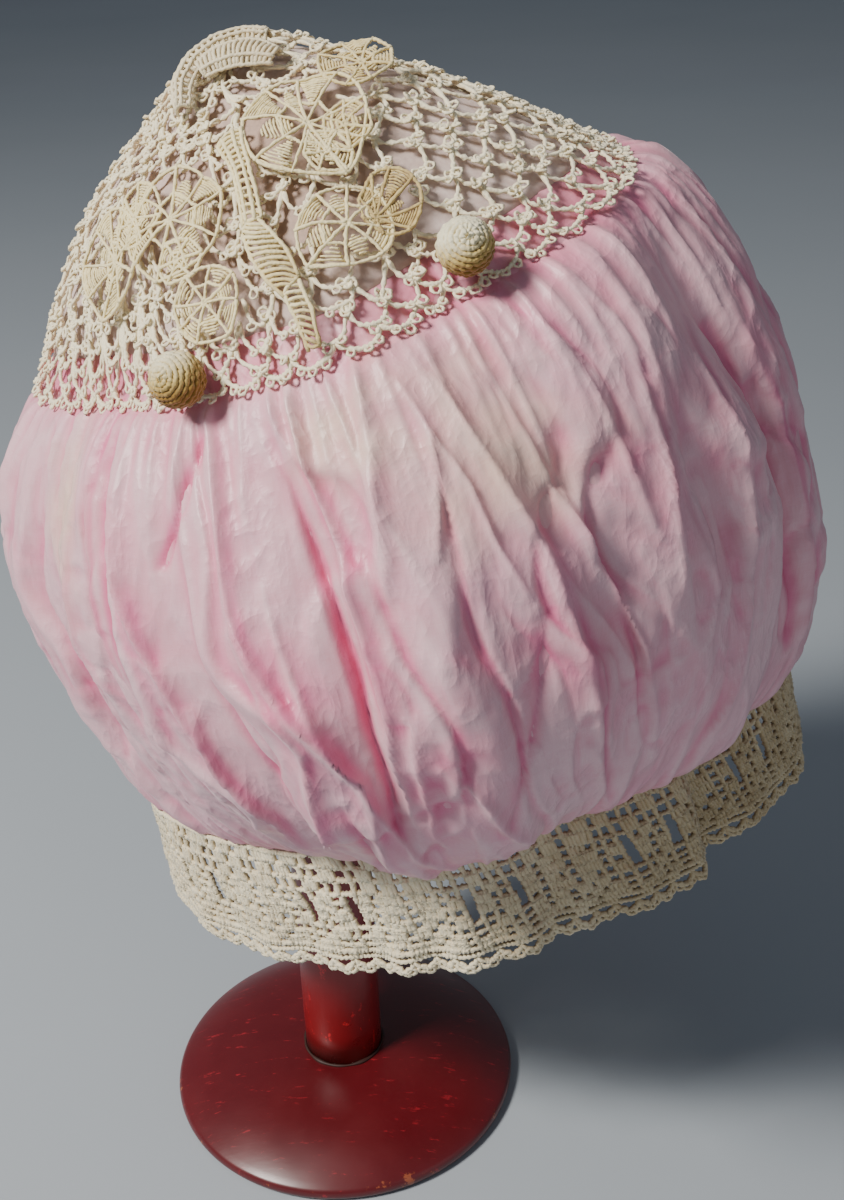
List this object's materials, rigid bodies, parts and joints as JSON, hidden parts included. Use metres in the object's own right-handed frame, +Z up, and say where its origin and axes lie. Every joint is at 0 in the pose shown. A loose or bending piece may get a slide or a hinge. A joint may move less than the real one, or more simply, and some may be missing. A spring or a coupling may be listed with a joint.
{
  "type": "lace cap on a hat stand",
  "caption": "Gathered silk cap with a crocheted lace crown, applied lace bow, ball buttons and mesh band, hung on a turned wooden hat stand with a ball head and a domed round base.",
  "frame": {"origin": "middle of the underside of the stand's base", "axes": "+Z up along the stand's post; the cap's front, with the bow, faces -Y; +X is to the viewer's right when the front is faced"},
  "size_m": [0.2609, 0.2268, 0.3774],
  "materials": {
    "stand_base": "worn dark red paint",
    "stand_post": "satin red paint",
    "stand_head": "satin red paint",
    "crown_lining": "matt cloth",
    "crown_lace": "matt crocheted cotton",
    "silk_puff": "lustrous pink silk",
    "lace_band": "matt crocheted cotton",
    "bow_right": "needle lace",
    "bow_left": "needle lace",
    "bow_knot": "needle lace",
    "bow_tail": "needle lace",
    "crown_leaf": "ribbed crochet",
    "ball_button_right": "crochet over a ball",
    "ball_button_left": "crochet over a ball"
  },
  "bodies": {
    "root": {"stand_base": "stand_base", "stand_post": "stand_post", "stand_head": "stand_head", "crown_lining": "crown_lining", "crown_lace": "crown_lace", "silk_puff": "silk_puff", "lace_band": "lace_band", "bow_right": "bow_right", "bow_left": "bow_left", "bow_knot": "bow_knot", "bow_tail": "bow_tail", "crown_leaf": "crown_leaf", "ball_button_right": "ball_button_right", "ball_button_left": "ball_button_left"}
  },
  "joints": []
}
